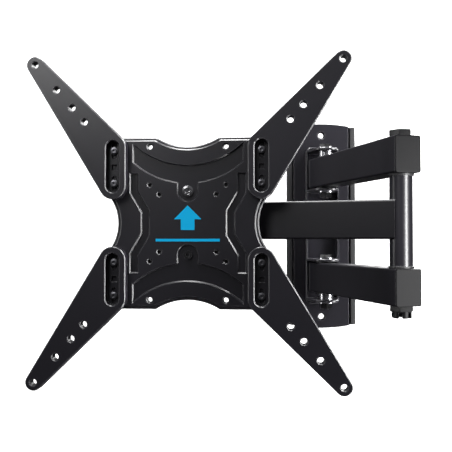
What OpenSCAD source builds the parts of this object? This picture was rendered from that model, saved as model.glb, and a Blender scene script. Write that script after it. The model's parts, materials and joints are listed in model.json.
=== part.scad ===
// Full motion wall mount for a flat screen: wall plate, twin short arms, elbow,
// single forearm, swivel and tilt head, screen plate and four extension arms.
// Millimetres. Origin: centre of the wall plate's back face. +Z up, -Y out of the wall.

/* [Wall plate] */
// Width of the pressed wall plate
plate_w = 112; // [96:1:130]
// Height of the wall plate at the crown of its arched ends
plate_h = 338; // [320:1:380]
// Sheet thickness of the wall plate
plate_sheet = 2.5; // [2:0.5:3]
// How far the raised middle of the wall plate stands off the wall
plate_t = 8; // [6:0.5:9]
// Width of the raised middle of the wall plate
face_w = 91; // [80:1:94]
// How far the arched ends drop from the middle to the sides
plate_drop = 6; // [3:0.5:10]
// Distance between the two wall screw holes
wall_pitch = 300; // [280:1:304]
// Diameter of the wall screw holes
wall_hole_d = 9; // [8:0.5:10]
// Width of the plastic side rails
rail_w = 7.5; // [6:0.5:8]
// How far the side rails stand out from the plate
rail_t = 6; // [3:0.5:8]

/* [Pivot bracket] */
// Width of the welded bracket
bracket_w = 54; // [48:1:60]
// Height of the bracket
bracket_h = 256; // [254:1:262]
// Distance of the wall pivot from the wall
pivot_out = 52; // [50:0.5:60]
// Height of the spacers between the short arms and the outer ears
spacer_h = 9; // [4:0.5:10]
// Thickness of the four bracket ears
ear_t = 4; // [3:0.5:5]
// Diameter of the two pivot bolts
pivot_d = 10; // [8:0.5:10]

/* [Short arms] */
// Pivot to pivot length of the short arms
arm_len = 237; // [225:1:260]
// Height between the middles of the two short arms
arm_pitch = 167; // [160:1:175]
// Width of a short arm
arm_w = 35; // [32:0.5:36]
// Height of a short arm
arm_h = 47; // [42:0.5:50]
// Wall thickness of the rectangular tubes
tube_t = 2.5; // [2:0.25:3]
// Angle of the short arms away from straight out
arm_yaw = 14; // [0:0.5:30]

/* [Elbow] */
// Diameter of the elbow bolt
elbow_d = 16; // [14:0.5:16]
// Outside diameter of the pivot barrels
barrel_d = 29; // [28:0.5:32]

/* [Forearm] */
// Pivot to pivot length of the forearm
fore_len = 282; // [260:1:320]
// Height of the forearm
fore_h = 50; // [40:0.5:54]
// Depth of the forearm, front to back
fore_w = 28; // [24:0.5:28]
// Direction of the forearm, back towards the wall
fore_yaw = -20.8; // [-30:0.1:0]
// How far the middle of the forearm sits above the middle of the mount
fore_lift = 2; // [0:0.5:3]

/* [Head] */
// Distance from the swivel axis to the front of the screen plate
head_out = 70; // [70:0.5:80]
// Direction of the head
head_yaw = -6.2; // [-15:0.1:0]
// Distance from the swivel axis to the tilt axis
tilt_out = 47; // [46:0.5:48]
// Distance between the two middle screws
level_pitch = 83; // [80:1:88]
// How far the screen plate sits below the middle of the mount
head_drop = 2; // [0:0.5:3]

/* [Screen plate] */
// Width over the four corner lobes
screen_w = 224; // [216:1:230]
// Height over the flat parts of the top and bottom edges
screen_h = 225; // [222:1:230]
// Sheet thickness of the pressings
sheet_t = 2.5; // [2:0.25:3]
// Depth of the turned-back edge of the screen plate
screen_rim = 12; // [8:0.5:12]
// Depth of the pressed recesses
recess_t = 3; // [2:0.25:3]

/* [Extension arms] */
// Sideways position of the outer hole of each extension arm
tip_x = 200; // [195:1:205]
// Height position of the outer hole of each extension arm
tip_z = 207; // [203:1:210]
// Length of the long recess around the two clamp screws
slot_len = 67.6; // [66:0.2:70]
// Width of the long recess
slot_w = 17.6; // [16:0.2:18]
// Distance between the two clamp screws
clamp_pitch = 43; // [41:0.5:43]
// How far each extension arm slides up or down from its middle
slide = 7; // [5:0.5:7]
// Depth of an extension arm
ext_t = 15; // [12:0.5:16]

/* [Hidden] */
$fn = 72;

coat = [0.17, 0.165, 0.18];
eps = 0.5;
gap = 0.05;
arm_z = arm_pitch / 2;
ex = arm_len * sin(arm_yaw);
ey = -pivot_out - arm_len * cos(arm_yaw);
hx = ex - fore_len * cos(fore_yaw);
hy = ey - fore_len * sin(fore_yaw);
bush_t = 2;
ear_in = arm_z - arm_h / 2 - bush_t;
ear_out = arm_z + arm_h / 2 + bush_t + spacer_h;
bore_in = arm_z - arm_h / 2;
bore_out = arm_z + arm_h / 2;
sleeve_d = pivot_d + 4;
rear_len = 24.5;
front_len = 16;
cap_t = 3;
skin_back = head_out - sheet_t;
well = head_out - recess_t;
well_back = well - sheet_t;
web_front = well_back - 0.3;
web_back = web_front - 3;
web_w = 114;
level_z = level_pitch / 2;
slot_x = 96.4;
slot_z = 73;
ext_back = head_out + 0.1;
ext_front = head_out + ext_t;
floor_t = 3;
tip_r = 11;
lobe_r = slot_w / 2 + 8.5;
slot_hi = [slot_x, slot_z + (slot_len - slot_w) / 2];
slot_lo = [slot_x, slot_z - (slot_len - slot_w) / 2];
tip = [tip_x, tip_z];
third = [150, 150];
row = (third - tip) / norm(third - tip);
row_at = [0, 44.3, norm(third - tip), 100.7];

// ---- frames ----
module wall_pivot() translate([0, -pivot_out, 0]) rotate([0, 0, arm_yaw]) children();
module elbow() translate([ex, ey, 0]) rotate([0, 0, fore_yaw]) children();
module head() translate([hx, hy, 0]) rotate([0, 0, head_yaw]) children();
module screen() head() translate([0, 0, -head_drop]) children();

// Extrudes a front-view outline from depth d0 forward to depth d1.
module face(d0, d1) translate([0, -d0, 0]) rotate([90, 0, 0]) linear_extrude(d1 - d0) children();

// ---- shared shapes ----
module rrect(w, h, r) {
    square([w - 2 * r, h], center = true);
    square([w, h - 2 * r], center = true);
    for (sx = [-1, 1], sy = [-1, 1])
        translate([sx * (w / 2 - r), sy * (h / 2 - r)]) circle(r = r);
}
module slot2d(len, w) {
    square([w, len - w], center = true);
    for (s = [-1, 1]) translate([0, s * (len - w) / 2]) circle(d = w);
}
module upright(z0, z1, d) translate([0, 0, z0]) cylinder(h = z1 - z0, d = d);
module hexagon(z0, z1, af) translate([0, 0, z0]) cylinder(h = z1 - z0, d = af / cos(30), $fn = 6);
module ring(z0, z1, od, id) difference() {
    upright(z0, z1, od);
    upright(z0 - eps, z1 + eps, id);
}
// Hex head with its round washer face and shank, head at the top.
module hex_bolt(z_under, z_end, d, af, head_h) {
    upright(z_end, z_under + 1, d);
    upright(z_under, z_under + 0.6, af);
    difference() {
        hexagon(z_under + 0.5, z_under + head_h, af);
        upright(z_under + head_h - 0.6, z_under + head_h + eps, af * 0.62);
    }
}
module hex_nut(z0, z1, d, af) difference() {
    hexagon(z0, z1, af);
    upright(z0 - eps, z1 + eps, d);
}

// ---- wall side ----
module wall_outline() intersection() {
    big = (pow(plate_w / 2, 2) + pow(plate_drop, 2)) / (2 * plate_drop);
    rrect(plate_w, plate_h, 3);
    translate([0, plate_h / 2 - big]) circle(r = big, $fn = 180);
    translate([0, big - plate_h / 2]) circle(r = big, $fn = 180);
}
module wall_band(half_in, half_out) intersection() {
    wall_outline();
    for (sx = [-1, 1]) translate([sx * (half_in + half_out) / 2, 0])
        square([half_out - half_in, plate_h + 2], center = true);
}
module wall_plate() color(coat) difference() {
    union() {
        face(0, plate_sheet) wall_band(face_w / 2 - plate_sheet, plate_w / 2);
        face(0, plate_t) wall_band(face_w / 2 - plate_sheet, face_w / 2);
        face(plate_t - plate_sheet, plate_t) wall_band(0, face_w / 2);
        for (s = [-1, 1]) translate([0, 0, s * wall_pitch / 2]) rotate([90, 0, 0])
            cylinder(h = plate_t - 1, d = wall_hole_d + 10);
    }
    for (s = [-1, 1]) translate([0, 0, s * wall_pitch / 2]) rotate([90, 0, 0]) {
        translate([0, 0, -eps]) cylinder(h = plate_t + 2 * eps, d = wall_hole_d);
        translate([0, 0, plate_t - 2.5]) cylinder(h = 3, d1 = wall_hole_d - 0.1, d2 = wall_hole_d + 6);
    }
}
module side_rail(s) color([0.12, 0.118, 0.125]) {
    side_h = plate_h - 2 * plate_drop + 1;
    translate([s * (plate_w - rail_w) / 2, 0, 0]) face(plate_sheet, plate_sheet + rail_t)
        rrect(rail_w, side_h, 1.2);
    translate([s * (plate_w / 2 + 0.5), 0, 0]) face(0.5, plate_sheet + rail_t - 1.5)
        square([1, side_h - 4], center = true);
}
module side_rail_left() side_rail(-1);
module side_rail_right() side_rail(1);

module ear(z0) translate([0, 0, z0]) linear_extrude(ear_t) {
    half = bracket_w / 2;
    polygon([[-half, -plate_t - 2], [half, -plate_t - 2], [half, -20], [20, -pivot_out],
             [-20, -pivot_out], [-half, -20]]);
    translate([0, -pivot_out]) circle(r = 20);
}
module pivot_bracket() color(coat) difference() {
    union() {
        face(plate_t, plate_t + 3) rrect(bracket_w, bracket_h, 9);
        face(plate_t, 22) difference() {
            rrect(bracket_w, bracket_h, 9);
            rrect(bracket_w - 6, bracket_h - 6, 6);
        }
        for (z = [ear_out, ear_in - ear_t, -ear_in, -ear_out - ear_t]) ear(z);
    }
    translate([0, -pivot_out, 0]) {
        upright(ear_in - ear_t - eps, ear_out + ear_t + eps, pivot_d + 0.2);
        upright(-ear_out - ear_t - eps, -ear_in + ear_t + eps, pivot_d + 0.2);
    }
}
// Both pivot bolts hang head up; the lower one is the upper one moved down.
module pivot_set_bolt(low, high) color([0.62, 0.62, 0.65])
    wall_pivot() hex_bolt(high + ear_t + 2, low - ear_t - 12, pivot_d, 17, 5);
module pivot_set_nut(low) color([0.62, 0.62, 0.65])
    wall_pivot() rotate([0, 0, 17]) hex_nut(low - ear_t - 10, low - ear_t - 2, pivot_d, 17);
module upper_pivot_bolt() pivot_set_bolt(ear_in, ear_out);
module upper_pivot_nut() pivot_set_nut(ear_in);
module lower_pivot_bolt() pivot_set_bolt(-ear_out, -ear_in);
module lower_pivot_nut() pivot_set_nut(-ear_out);
module pivot_washers() color([0.72, 0.72, 0.75]) translate([0, -pivot_out, 0])
    for (z = [ear_out + ear_t, ear_in - ear_t - 2, -ear_in + ear_t, -ear_out - ear_t - 2])
        ring(z, z + 2, 24, pivot_d + 0.1);

module pivot_spacers() color([0.72, 0.72, 0.75]) translate([0, -pivot_out, 0])
    for (z = [bore_out + bush_t, -ear_out]) ring(z + 0.02, z + spacer_h, 21, pivot_d + 0.1);

// ---- short arms ----
// Tube profile; sy is the height, sx the width.
module tube_profile(w, h, t) difference() {
    rrect(w, h, 2.5);
    rrect(w - 2 * t, h - 2 * t, 1);
}
module short_arm(z) color(coat) wall_pivot() translate([0, 0, z]) difference() {
    translate([0, rear_len, 0]) face(0, rear_len + arm_len + front_len)
        tube_profile(arm_w, arm_h, tube_t);
    upright(-arm_h, arm_h, sleeve_d);
    translate([0, -arm_len, 0]) upright(-arm_h, arm_h, elbow_d);
}
module upper_arm() short_arm(arm_z);
module lower_arm() short_arm(-arm_z);

// Flanged plastic bush: flange outside the tube, sleeve through its wall.
module arm_bushes(z) color([0.08, 0.08, 0.085]) wall_pivot() translate([0, 0, z])
    for (s = [-1, 1]) difference() {
        union() {
            translate([0, 0, s * (arm_h / 2 + bush_t / 2)]) cylinder(h = bush_t - 0.04, d = 28, center = true);
            translate([0, 0, s * (arm_h / 2 - 1.5)]) cylinder(h = 5, d = sleeve_d, center = true);
        }
        upright(-arm_h, arm_h, pivot_d + 2 * gap);
    }
module upper_arm_bushes() arm_bushes(arm_z);
module lower_arm_bushes() arm_bushes(-arm_z);

module end_cap(z, y, s) wall_pivot() translate([0, y, z]) mirror([0, s > 0 ? 1 : 0, 0]) {
    face(0, cap_t) rrect(arm_w, arm_h, 2.5);
    face(-7, eps) difference() {
        rrect(arm_w - 2 * tube_t, arm_h - 2 * tube_t, 1);
        rrect(arm_w - 2 * tube_t - 4, arm_h - 2 * tube_t - 4, 1);
    }
}
cap_front = -arm_len - front_len;
module upper_arm_front_cap() color([0.31, 0.305, 0.34]) end_cap(arm_z, cap_front, -1);
module lower_arm_front_cap() color([0.31, 0.305, 0.34]) end_cap(-arm_z, cap_front, -1);
module upper_arm_rear_cap() color([0.12, 0.12, 0.13]) end_cap(arm_z, rear_len, 1);
module lower_arm_rear_cap() color([0.12, 0.12, 0.13]) end_cap(-arm_z, rear_len, 1);

// ---- elbow ----
module elbow_bolt() color([0.2, 0.2, 0.21])
    translate([ex, ey, 0]) rotate([0, 0, 8]) hex_bolt(bore_out, -bore_out - 14, elbow_d, 27, 8.3);
// Castle nut: hex below the arm, then a slotted crown.
module elbow_nut() color([0.2, 0.2, 0.21]) translate([ex, ey, 0]) rotate([0, 0, 8]) difference() {
    union() {
        hexagon(-bore_out - 7, -bore_out, 27);
        upright(-bore_out - 15.5, -bore_out - 6, 25);
    }
    upright(-bore_out - 20, -bore_out + eps, elbow_d);
    for (a = [0, 60, 120]) rotate([0, 0, a]) translate([0, 0, -bore_out - 12.5])
        cube([40, 4.5, 8], center = true);
}
elbow_half = bore_in - 3;
module barrel(half) difference() {
    upright(-half, half, barrel_d);
    upright(-half - eps, half + eps, 20);
}
module barrel_bushes(half, flange_t, flange_d, pin_d) for (s = [-1, 1]) difference() {
    union() {
        translate([0, 0, s * (half + flange_t / 2)])
            cylinder(h = flange_t - 0.04, d = flange_d, center = true);
        translate([0, 0, s * (half - 7)]) cylinder(h = 16, d = 20, center = true);
    }
    upright(-half - 10, half + 10, pin_d + 2 * gap);
}
module elbow_barrel() color(coat) elbow() barrel(elbow_half);
module elbow_bushes() color([0.1, 0.1, 0.105]) elbow() barrel_bushes(elbow_half, 3, 32.5, elbow_d);

// ---- forearm ----
module forearm_tube() color(coat) elbow() difference() {
    translate([0, 0, fore_lift]) rotate([0, 0, -90]) translate([0, -6.5, 0])
        face(0, fore_len - 13) tube_profile(fore_w, fore_h, tube_t);
    upright(-fore_h, fore_h, barrel_d);
    translate([-fore_len, 0, 0]) upright(-fore_h, fore_h, barrel_d);
}
swivel_half = 28;
swivel_d = 12;
module swivel_barrel() color(coat) elbow() translate([-fore_len, 0, 0]) barrel(swivel_half);
module swivel_bushes() color([0.1, 0.1, 0.105]) elbow() translate([-fore_len, 0, 0])
    barrel_bushes(swivel_half, 2, 30, swivel_d);

// ---- swivel and tilt head ----
yoke_z = swivel_half + 2;
module swivel_yoke() color(coat) head() difference() {
    union() {
        for (z = [yoke_z, -yoke_z - 4]) translate([0, 0, z]) linear_extrude(4) {
            circle(r = 18);
            translate([-18, -34]) square([36, 34]);
        }
        face(30, 34) square([40, 2 * yoke_z + 8], center = true);
        for (x = [-20, 16]) translate([x, 0, -head_drop]) rotate([90, 0, 90]) linear_extrude(4) {
            translate([-tilt_out, 0]) circle(r = 10);
            translate([-tilt_out, -10]) square([tilt_out - 34, 20]);
            polygon([[-tilt_out, -10], [-33, -24], [-33, 24], [-tilt_out, 10]]);
        }
    }
    upright(-yoke_z - 10, yoke_z + 10, swivel_d);
    translate([-30, -tilt_out, -head_drop]) rotate([0, 90, 0]) cylinder(h = 60, d = 8.1);
}
module swivel_bolt() color([0.35, 0.35, 0.37])
    head() hex_bolt(yoke_z + 4, -yoke_z - 16, swivel_d, 19, 7.5);
module swivel_nut() color([0.35, 0.35, 0.37])
    head() hex_nut(-yoke_z - 14, -yoke_z - 4, swivel_d, 19);

module tilt_plate() color(coat) screen() difference() {
    union() {
        face(web_back, web_front) rrect(web_w, level_pitch + 29, 14);
        for (x = [-25, 22]) translate([x, 0, 0]) rotate([90, 0, 90]) linear_extrude(3) {
            translate([-tilt_out, 0]) circle(r = 11);
            polygon([[-tilt_out + 1, -11], [-web_back - 0.5, -30], [-web_back - 0.5, 30],
                     [-tilt_out + 1, 11]]);
        }
    }
    translate([-30, -tilt_out, 0]) rotate([0, 90, 0]) cylinder(h = 60, d = 8);
    translate([0, -web_front - 1, level_z]) rotate([-90, 0, 0]) cylinder(h = 8, d = 8);
    face(web_back - 1, web_front + 1) translate([0, -level_z]) {
        square([10, 6.8], center = true);
        for (s = [-1, 1]) translate([s * 5, 0]) circle(d = 6.8);
    }
}
// Along X: head on the right, nut on the left.
module across() screen() translate([0, -tilt_out, 0]) rotate([0, 90, 0]) children();
module tilt_bolt() color([0.35, 0.35, 0.37]) across() hex_bolt(25, -34, 8, 13, 5.5);
module tilt_nut() color([0.35, 0.35, 0.37]) across() hex_nut(-33, -25, 8, 13);
module tilt_washers() color([0.1, 0.1, 0.105]) across() for (z = [20.05, -21.95]) ring(z, z + 1.9, 20, 8);

// Middle screws: the upper one is the levelling pivot, the lower one locks it.
module turned(z) screen() translate([0, 0, z]) rotate([90, 0, 0]) children();
module level_pivot_screw() color([0.55, 0.55, 0.58]) turned(level_z) difference() {
    union() {
        upright(web_back - 9, well + 1, 8);
        upright(well + 0.1, well + 2.2, 15);
        upright(well + 2, well + 4.6, 11.5);
    }
    for (a = [20, 110]) rotate([0, 0, a]) translate([0, 0, well + 4.2]) cube([8, 1.8, 3], center = true);
}
module level_pivot_nut() color([0.35, 0.35, 0.37])
    turned(level_z) hex_nut(web_back - 7, web_back, 8, 13);
module level_lock_screw() color([0.15, 0.15, 0.16]) turned(-level_z) difference() {
    union() {
        upright(web_back - 8, well + 1, 6);
        upright(well + 0.1, well + 3.6, 11);
    }
    translate([0, 0, well + 1.6]) cylinder(h = 4, d = 5 / cos(30), $fn = 6);
}
module level_lock_nut() color([0.35, 0.35, 0.37])
    turned(-level_z) hex_nut(web_back - 6.1, web_back - 0.1, 6, 10);

// ---- screen plate ----
top_arc = 78.4;
waist_arc = 58;
// Front outline of the screen plate, inset by g.
module screen_outline(g) difference() {
    square([screen_w - 2 * g, screen_h - 2 * g], center = true);
    for (s = [-1, 1]) {
        translate([0, s * (screen_h / 2 - 12.2 + top_arc)]) circle(r = top_arc + g, $fn = 120);
        translate([s * (92.7 + waist_arc), 0]) circle(r = waist_arc + g, $fn = 120);
    }
}
// Crescent recess with the round tab that holds a middle screw, grown by g.
crescent_r = 107;
module crescent(g) {
    difference() {
        intersection() {
            translate([0, 52.8 + crescent_r]) circle(r = crescent_r + g, $fn = 120);
            translate([-71.6 - g, 30]) square([143.2 + 2 * g, 75 + g]);
        }
        translate([0, 74.8 + crescent_r]) circle(r = crescent_r - g, $fn = 120);
    }
    translate([0, level_z]) circle(r = 12.6 + g);
    translate([-12.6 - g, level_z]) square([25.2 + 2 * g, 20]);
}
// Side groove, grown by g.
module groove(g) polygon([[75.5 + g, 64 + g], [75.5 + g, 39.5], [60.5 + g, 14], [60.5 + g, -14],
    [75.5 + g, -39.5], [75.5 + g, -64 - g], [66.5 - g, -64 - g], [66.5 - g, -41.5], [51.5 - g, -16],
    [51.5 - g, 16], [66.5 - g, 41.5], [66.5 - g, 64 + g]]);
module recesses(g) for (m = [0, 1]) {
    mirror([0, m]) crescent(g);
    mirror([m, 0]) groove(g);
}
module screen_band(g0, g1) difference() {
    screen_outline(g0);
    screen_outline(g1);
}
edge_in = 3.8;
ledge = head_out - 2.6;
small_d = 4.6;
tall_d = 6.4;
vesa = [for (p = [37.5, 50], sx = [-1, 1], sy = [-1, 1]) [sx * p, sy * p]];
tall = [for (sx = [-1, 1], sy = [-1, 1]) [sx * 50, sy * 100]];
clamps = [for (sx = [-1, 1], sz = [-1, 1], s = [-1, 1]) [sx * slot_x, sz * slot_z + s * clamp_pitch / 2]];
module drill(at, d, d0, d1) for (p = at) translate([p.x, -d0 + eps, p.y]) rotate([90, 0, 0])
    cylinder(h = d1 - d0 + 2 * eps, d = d, $fn = 48);
module screen_plate() color(coat) screen() difference() {
    union() {
        face(skin_back, head_out) screen_outline(edge_in);
        face(ledge - sheet_t, head_out) screen_band(edge_in, edge_in + sheet_t);
        face(ledge - sheet_t, ledge) screen_band(0, edge_in + sheet_t);
        face(head_out - screen_rim, ledge) screen_band(0, sheet_t);
        face(well_back, head_out - 0.2) intersection() {
            recesses(sheet_t);
            screen_outline(edge_in);
        }
        drill(tall, tall_d + 4.5, head_out - 11.5, head_out - 1.5);
    }
    face(well, head_out + eps) recesses(0);
    drill(vesa, small_d, head_out - 13, head_out);
    drill(tall, tall_d, head_out - 13, head_out);
    drill(clamps, 5, skin_back - 3, head_out);
    drill([[0, level_z]], 8 + 2 * gap, well_back, well);
    drill([[0, -level_z]], 6, well_back, well);
}
// Printed mark: an arrow pointing up over a level line.
module up_mark() color([0.02, 0.6, 0.93]) screen() face(head_out, head_out + 0.25) {
    polygon([[-18, 5], [0, 23], [18, 5], [9, 5], [9, -9], [-9, -9], [-9, 5]]);
    translate([-42, -24]) square([84, 3.5]);
}

// ---- extension arms ----
// Direction of the common outer tangent on the right of travel from p to q.
function side(p, rp, q, rq) = atan2(q.y - p.y, q.x - p.x) - 90 + asin((rp - rq) / norm(q - p));
function at(c, r, a) = c + r * [cos(a), sin(a)];
module wedge(g) {
    t = tip_r - g;
    l = lobe_r - g;
    a1 = side(slot_lo, l, tip, t);
    a2 = side(tip, t, slot_hi, l);
    polygon([at(slot_lo, l, a1), at(tip, t, a1), at(tip, t, a2), at(slot_hi, l, a2),
             at(slot_hi, l, 180), at(slot_lo, l, 180)]);
    translate(tip) circle(r = t);
    translate(slot_hi) circle(r = l);
    translate(slot_lo) circle(r = l);
}
module ext_arm(sx, sz) color(coat) screen() mirror([sx < 0 ? 1 : 0, 0, 0]) mirror([0, 0, sz < 0 ? 1 : 0])
    difference() {
        union() {
            difference() {
                face(ext_back, ext_front) wedge(0);
                face(ext_back - eps, ext_front - sheet_t) wedge(sheet_t);
            }
            face(ext_back, ext_front - 1) translate([slot_x, slot_z])
                slot2d(slot_len + 5, slot_w + 5);
            drill([for (k = row_at) tip + k * row], 13, ext_back + eps, ext_front - 1.5);
        }
        face(ext_back + floor_t, ext_front + eps) translate([slot_x, slot_z]) slot2d(slot_len, slot_w);
        for (s = [-1, 1]) face(ext_back - eps, ext_front) translate([slot_x, slot_z + s * clamp_pitch / 2])
            slot2d(2 * slide + 5.4, 5.4);
        face(ext_back - eps, ext_front) translate([slot_x, slot_z]) square(6, center = true);
        drill([for (k = row_at) tip + k * row], 8.5, ext_back, ext_front);
    }
module arm_upper_left() ext_arm(-1, 1);
module arm_upper_right() ext_arm(1, 1);
module arm_lower_left() ext_arm(-1, -1);
module arm_lower_right() ext_arm(1, -1);

module at_clamps(sx) for (p = clamps) if (p.x * sx > 0)
    screen() translate([p.x, 0, p.y]) rotate([90, 0, 0]) children();
module clamp_screw() difference() {
    union() {
        upright(skin_back - 6, ext_back + floor_t + 1, 5);
        upright(ext_back + floor_t + 0.1, ext_back + floor_t + 2.2, 9.8);
        upright(ext_back + floor_t + 2, ext_back + floor_t + 3.4, 7.6);
    }
    translate([0, 0, ext_back + floor_t + 1.4]) cylinder(h = 4, d = 3 / cos(30), $fn = 6);
}
module clamp_screws_left() color([0.42, 0.42, 0.44]) at_clamps(-1) clamp_screw();
module clamp_screws_right() color([0.42, 0.42, 0.44]) at_clamps(1) clamp_screw();
module clamp_nuts_left() color([0.5, 0.5, 0.52]) at_clamps(-1) hex_nut(skin_back - 4, skin_back, 5, 8);
module clamp_nuts_right() color([0.5, 0.5, 0.52]) at_clamps(1) hex_nut(skin_back - 4, skin_back, 5, 8);

wall_plate();
side_rail_left();
side_rail_right();
pivot_bracket();
upper_pivot_bolt();
upper_pivot_nut();
lower_pivot_bolt();
lower_pivot_nut();
pivot_washers();
pivot_spacers();
upper_arm();
lower_arm();
upper_arm_bushes();
lower_arm_bushes();
upper_arm_front_cap();
lower_arm_front_cap();
upper_arm_rear_cap();
lower_arm_rear_cap();
elbow_bolt();
elbow_nut();
forearm_tube();
elbow_barrel();
elbow_bushes();
swivel_barrel();
swivel_bushes();
swivel_yoke();
swivel_bolt();
swivel_nut();
tilt_plate();
tilt_bolt();
tilt_nut();
tilt_washers();
level_pivot_screw();
level_pivot_nut();
screen_plate();
level_lock_screw();
level_lock_nut();
up_mark();
arm_upper_left();
arm_upper_right();
arm_lower_left();
arm_lower_right();
clamp_screws_left();
clamp_screws_right();
clamp_nuts_left();
clamp_nuts_right();
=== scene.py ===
"""Looks of the full motion wall mount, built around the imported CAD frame."""

import json
import math

import bpy
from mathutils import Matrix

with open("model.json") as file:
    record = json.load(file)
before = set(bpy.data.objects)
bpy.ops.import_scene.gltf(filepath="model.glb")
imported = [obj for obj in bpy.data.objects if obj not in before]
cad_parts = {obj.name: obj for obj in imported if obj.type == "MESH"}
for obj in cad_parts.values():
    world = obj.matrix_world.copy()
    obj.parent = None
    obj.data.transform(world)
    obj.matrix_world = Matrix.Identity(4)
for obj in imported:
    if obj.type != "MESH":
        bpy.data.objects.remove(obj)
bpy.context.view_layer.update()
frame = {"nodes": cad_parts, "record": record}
nodes = frame["nodes"]
slots = {s["node"]: s["material_slot"] for s in frame["record"]["subparts"]}

# ---------------------------------------------------------------- camera
CAM_AT = (-0.1865, -1.1632, -0.0254)
CAM_TURN = 1.42  # degrees to the right of straight at the wall
CAM_RISE = 1.23  # degrees up
CAM_LENS = 55.75

cam = bpy.data.cameras.new("camera")
cam.lens = CAM_LENS
cam.sensor_width = 36
cam.clip_start = 0.01
cam.clip_end = 100
cam_obj = bpy.data.objects.new("camera", cam)
cam_obj.location = CAM_AT
cam_obj.rotation_euler = (math.radians(90 + CAM_RISE), 0, math.radians(-CAM_TURN))
bpy.context.scene.collection.objects.link(cam_obj)
bpy.context.scene.camera = cam_obj

# ---------------------------------------------------------------- light
ROOM_LOW = 0.03  # strength of the room's light from just below the horizon
ROOM_HIGH = 0.4  # and from overhead
HORIZON = -0.1  # height of the direction, from -1 to 1, where the room starts to brighten
OVERHEAD = 0.9
world = bpy.data.worlds.new("studio")
world.use_nodes = True
sky = world.node_tree
bpy.context.scene.world = world
bpy.context.scene.view_settings.view_transform = "Standard"

# The room is white to look at, and lights the object from above more than from below.
plain = sky.nodes["Background"]
plain.inputs["Color"].default_value = (1, 1, 1, 1)
lit = sky.nodes.new("ShaderNodeBackground")
lit.inputs["Color"].default_value = (0.97, 0.97, 1.0, 1)
where = sky.nodes.new("ShaderNodeTexCoord")
split = sky.nodes.new("ShaderNodeSeparateXYZ")
height = sky.nodes.new("ShaderNodeMapRange")
height.inputs["From Min"].default_value = HORIZON
height.inputs["From Max"].default_value = OVERHEAD
height.inputs["To Min"].default_value = ROOM_LOW
height.inputs["To Max"].default_value = ROOM_HIGH
seen = sky.nodes.new("ShaderNodeLightPath")
pick = sky.nodes.new("ShaderNodeMixShader")
sky.links.new(where.outputs["Generated"], split.inputs[0])
sky.links.new(split.outputs["Z"], height.inputs["Value"])
sky.links.new(height.outputs["Result"], lit.inputs["Strength"])
sky.links.new(seen.outputs["Is Camera Ray"], pick.inputs["Fac"])
sky.links.new(lit.outputs[0], pick.inputs[1])
sky.links.new(plain.outputs[0], pick.inputs[2])
sky.links.new(pick.outputs[0], sky.nodes["World Output"].inputs["Surface"])


def area_light(name, at, aim, size, power):
    """A rectangular soft light at one point, aimed at another. Metres and watts."""
    data = bpy.data.lights.new(name, "AREA")
    data.shape = "RECTANGLE"
    data.size, data.size_y = size
    data.energy = power
    o = bpy.data.objects.new(name, data)
    o.location = at
    d = [b - a for a, b in zip(at, aim)]
    flat = math.hypot(d[0], d[1])
    o.rotation_euler = (math.atan2(flat, -d[2]), 0, math.atan2(-d[0], d[1]))
    o.visible_camera = False
    bpy.context.scene.collection.objects.link(o)
    return o


MIDDLE = (-0.15, -0.25, 0)
ELBOW = (0.05, -0.3, 0.0)
BARREL = (0.0, -0.28, 0.0)
area_light("key", (-1.1, -1.7, 1.0), MIDDLE, (0.9, 0.9), 18)
area_light("top", (-0.35, -0.22, 1.5), MIDDLE, (1.4, 0.4), 50)
area_light("left", (-1.8, -0.1, 0.2), MIDDLE, (0.4, 1.2), 10)
area_light("back", (0.9, 1.2, 0.8), MIDDLE, (1.0, 1.0), 60)


def lit_only(label, starts, lights):
    """Keeps these lights to the nodes whose names begin with one of the words."""
    group = bpy.data.collections.new(label)
    for name, o in nodes.items():
        if name.startswith(starts):
            group.objects.link(o)
    for light in lights:
        light.light_linking.receiver_collection = group


# The pressings, the round bars and the arms with their ends each have side lights of their own,
# because one set for all would make the square ends too pale.
lit_only("pressings", ("screen_plate", "arm_", "wall_plate", "side_rail", "pivot_"),
         [area_light("right", (1.4, -0.62, 0.1), MIDDLE, (0.4, 1.5), 75),
          area_light("upper_right", (0.82, -0.48, 1.2), MIDDLE, (0.4, 0.8), 50),
          area_light("lower_right", (0.42, -0.39, -0.70), MIDDLE, (0.35, 0.3), 9)])
lit_only("bars", ("elbow_barrel", "elbow_bushes", "swivel_"),
         [area_light("strip", (0.75, -1.15, -0.05), BARREL, (0.36, 0.7), 34)])
lit_only("ends", ("upper_", "lower_", "elbow_bolt", "elbow_nut"),
         [area_light("low", (0.9, -1.05, -0.17), ELBOW, (0.6, 0.95), 9)])

# ---------------------------------------------------------------- stage
def backdrop():
    """A seamless floor that curves up into a wall, well behind and below."""
    low, back, bend, steps = -0.75, 1.6, 0.8, 12
    front, top, half_width = -4.0, 5.0, 6.0
    line = [(front, low)]
    for i in range(steps + 1):
        a = math.pi / 2 * i / steps
        line.append((back - bend + bend * math.sin(a), low + bend * (1 - math.cos(a))))
    line.append((back, top))
    verts = [(x, y, z) for y, z in line for x in (-half_width, half_width)]
    faces = [(2 * i, 2 * i + 1, 2 * i + 3, 2 * i + 2) for i in range(len(line) - 1)]
    mesh = bpy.data.meshes.new("backdrop")
    mesh.from_pydata(verts, [], faces)
    mesh.polygons.foreach_set("use_smooth", [True] * len(faces))
    o = bpy.data.objects.new("backdrop", mesh)
    bpy.context.scene.collection.objects.link(o)
    mat = bpy.data.materials.new("backdrop")
    mat.use_nodes = True
    b = mat.node_tree.nodes["Principled BSDF"]
    b.inputs["Base Color"].default_value = (0.95, 0.95, 0.95, 1)
    b.inputs["Roughness"].default_value = 1.0
    b.inputs["Emission Color"].default_value = (1, 1, 1, 1)
    b.inputs["Emission Strength"].default_value = 0.7
    mesh.materials.append(mat)
    o.visible_glossy = False
    o.visible_diffuse = False


backdrop()

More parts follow.
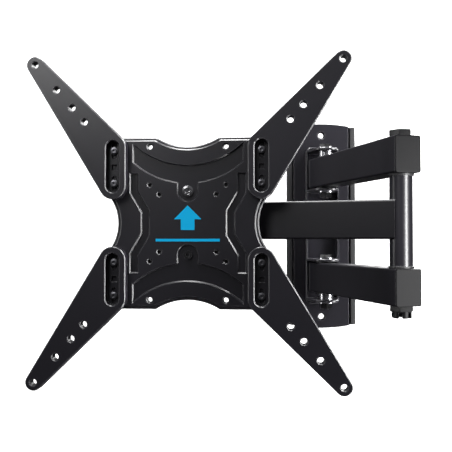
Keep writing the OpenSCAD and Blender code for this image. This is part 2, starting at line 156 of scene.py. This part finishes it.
# ---------------------------------------------------------------- materials
def coated(name, colour, edge, rough, metallic=0.0, grain=1400.0, bump=0.12,
           edge_rough=0.3, edge_at=0.0007, edge_gain=0.8, mottle=0.18, specular=0.5):
    """A finish with fine grain, faint mottling and glossier edges with a lighter painted
    highlight.

    edge_at is the radius of the edge that catches the light, in metres."""
    mat = bpy.data.materials.new(name)
    mat.use_nodes = True
    tree = mat.node_tree
    bsdf = tree.nodes["Principled BSDF"]
    bsdf.inputs["Metallic"].default_value = metallic
    bsdf.inputs["Specular IOR Level"].default_value = specular

    def node(kind, **values):
        n = tree.nodes.new(kind)
        for key, value in values.items():
            if key in n.inputs:
                n.inputs[key].default_value = value
            else:
                setattr(n, key, value)
        return n

    def link(a, out, b, into):
        tree.links.new(a.outputs[out], b.inputs[into])

    coords = node("ShaderNodeTexCoord")
    fine = node("ShaderNodeTexNoise", Scale=grain, Detail=3.0, Roughness=0.6)
    broad = node("ShaderNodeTexNoise", Scale=14.0, Detail=4.0, Roughness=0.6)
    link(coords, "Object", fine, "Vector")
    link(coords, "Object", broad, "Vector")
    bumps = node("ShaderNodeBump", Strength=bump, Distance=0.0002)
    link(fine, "Fac", bumps, "Height")
    link(bumps, "Normal", bsdf, "Normal")

    # Painted highlight: a mask of the edges, where a bevel-rounded normal turns away from the
    # true normal.
    soft = node("ShaderNodeBevel", Radius=edge_at)
    soft.samples = 6
    geo = node("ShaderNodeNewGeometry")
    dot = node("ShaderNodeVectorMath", operation="DOT_PRODUCT")
    link(soft, "Normal", dot, 0)
    link(geo, "Normal", dot, 1)
    edge_highlight_mask = node("ShaderNodeMapRange")
    edge_highlight_mask.inputs["From Min"].default_value = 0.985
    edge_highlight_mask.inputs["From Max"].default_value = 0.80
    edge_highlight_mask.inputs["To Min"].default_value = 0.0
    edge_highlight_mask.inputs["To Max"].default_value = edge_gain
    link(dot, "Value", edge_highlight_mask, "Value")

    shade = node("ShaderNodeMixRGB")
    shade.inputs["Color1"].default_value = (*[c * (1 - mottle) for c in colour], 1)
    shade.inputs["Color2"].default_value = (*[c * (1 + mottle) for c in colour], 1)
    link(broad, "Fac", shade, "Fac")
    # The painted edge highlight: the lighter edge colour is mixed into the base colour along the
    # mask.
    mix = node("ShaderNodeMixRGB")
    mix.inputs["Color2"].default_value = (*edge, 1)
    link(edge_highlight_mask, "Result", mix, "Fac")
    link(shade, "Color", mix, "Color1")
    link(mix, "Color", bsdf, "Base Color")

    gloss = node("ShaderNodeMapRange")
    gloss.inputs["To Min"].default_value = rough - 0.05
    gloss.inputs["To Max"].default_value = rough + 0.05
    link(fine, "Fac", gloss, "Value")
    both = node("ShaderNodeMixRGB")
    both.inputs["Color2"].default_value = (edge_rough, edge_rough, edge_rough, 1)
    link(edge_highlight_mask, "Result", both, "Fac")
    link(gloss, "Result", both, "Color1")
    link(both, "Color", bsdf, "Roughness")
    return mat


# Each finish gives its own colour, then the lighter colour painted along its edges as a
# highlight, then its roughness.
MATERIALS = {
    "black_coat": coated("black_coat", (0.0090, 0.0084, 0.0115), (0.25, 0.25, 0.26), 0.32,
                         edge_rough=0.17, edge_at=0.0009, bump=0.08),
    "black_plastic": coated("black_plastic", (0.014, 0.014, 0.015), (0.12, 0.12, 0.13), 0.5,
                            grain=2200.0, bump=0.06),
    "grey_plastic": coated("grey_plastic", (0.005, 0.0047, 0.0065), (0.06, 0.06, 0.065), 0.36,
                           grain=2200.0, bump=0.06, specular=0.3),
    "zinc": coated("zinc", (0.55, 0.55, 0.58), (0.8, 0.8, 0.82), 0.24, metallic=1.0,
                   grain=900.0, bump=0.03, edge_at=0.0003, mottle=0.08),
    "screw_steel": coated("screw_steel", (0.16, 0.16, 0.175), (0.6, 0.6, 0.62), 0.3,
                          metallic=1.0, grain=900.0, bump=0.04, edge_at=0.0004),
    "dark_steel": coated("dark_steel", (0.010, 0.010, 0.011), (0.3, 0.3, 0.32), 0.32,
                         metallic=0.2, grain=900.0, bump=0.05, edge_at=0.0004),
    "blue_print": coated("blue_print", (0.0, 0.5, 0.92), (0.0, 0.5, 0.92), 0.6,
                         grain=1400.0, bump=0.05, mottle=0.03, specular=0.2),
}
# The upper middle screw is shinier than the other screws; its edges get the painted highlight
# too.
POLISHED = coated("polished_steel", (0.45, 0.45, 0.47), (0.9, 0.9, 0.92), 0.13, metallic=1.0,
                  grain=900.0, bump=0.02, edge_at=0.0004)

for name, o in nodes.items():
    o.data.materials.clear()
    o.data.materials.append(POLISHED if name == "level_pivot_screw" else MATERIALS[slots[name]])

# ---------------------------------------------------------------- rounded edges
SHARP = math.radians(50)  # an edge that turns by less stays as it is
SMOOTH = math.radians(30)  # faces that meet at less shade as one
SAME_POINT = 0.000002  # metres; the frame's faces don't share their corners


def outer_edges():
    """A node group that marks the outward edges for the bevel and leaves inner corners sharp."""
    group = bpy.data.node_groups.new("outer_edges", "GeometryNodeTree")
    for way in ("INPUT", "OUTPUT"):
        group.interface.new_socket("Geometry", in_out=way, socket_type="NodeSocketGeometry")
    start = group.nodes.new("NodeGroupInput")
    end = group.nodes.new("NodeGroupOutput")
    turn = group.nodes.new("GeometryNodeInputMeshEdgeAngle")
    test = group.nodes.new("ShaderNodeMath")
    test.operation = "GREATER_THAN"
    test.inputs[1].default_value = SHARP
    mark = group.nodes.new("GeometryNodeStoreNamedAttribute")
    mark.data_type = "FLOAT"
    mark.domain = "EDGE"
    mark.inputs["Name"].default_value = "bevel_weight_edge"
    group.links.new(start.outputs[0], mark.inputs["Geometry"])
    group.links.new(turn.outputs["Signed Angle"], test.inputs[0])
    group.links.new(test.outputs[0], mark.inputs["Value"])
    group.links.new(mark.outputs[0], end.inputs[0])
    return group


OUTER_EDGES = outer_edges()
ROUNDED = {  # width of the rounding, in millimetres
    "screen_plate": 1.5, "arm_upper_left": 1.0, "arm_upper_right": 1.0,
    "arm_lower_left": 1.0, "arm_lower_right": 1.0, "wall_plate": 0.8,
    "pivot_bracket": 0.9, "side_rail_left": 0.8, "side_rail_right": 0.8,
    "upper_arm_front_cap": 0.7, "lower_arm_front_cap": 0.7,
    "swivel_yoke": 0.8, "tilt_plate": 0.8, "elbow_bolt": 0.6, "elbow_nut": 0.5,
    "upper_pivot_bolt": 0.4, "lower_pivot_bolt": 0.4, "clamp_screws_left": 0.4,
    "clamp_screws_right": 0.4, "level_pivot_screw": 0.4, "elbow_bushes": 0.6,
}
# These get one flat chamfer, which catches the light as a thin line.
FLAT = ("screen_plate", "arm_", "wall_plate", "pivot_bracket")
for name, width in ROUNDED.items():
    m = nodes[name].modifiers.new("joined", "WELD")
    m.merge_threshold = SAME_POINT
    m = nodes[name].modifiers.new("outer_edges", "NODES")
    m.node_group = OUTER_EDGES
    m = nodes[name].modifiers.new("rounded", "BEVEL")
    m.width = width / 1000
    m.segments = 1 if name.startswith(FLAT) else 2
    m.limit_method = "WEIGHT"
    m.use_clamp_overlap = False
    m.loop_slide = False
    m = nodes[name].modifiers.new("creases", "EDGE_SPLIT")
    m.split_angle = SMOOTH
    m = nodes[name].modifiers.new("faces", "WEIGHTED_NORMAL")
    m.mode = "FACE_AREA"
    m.weight = 100
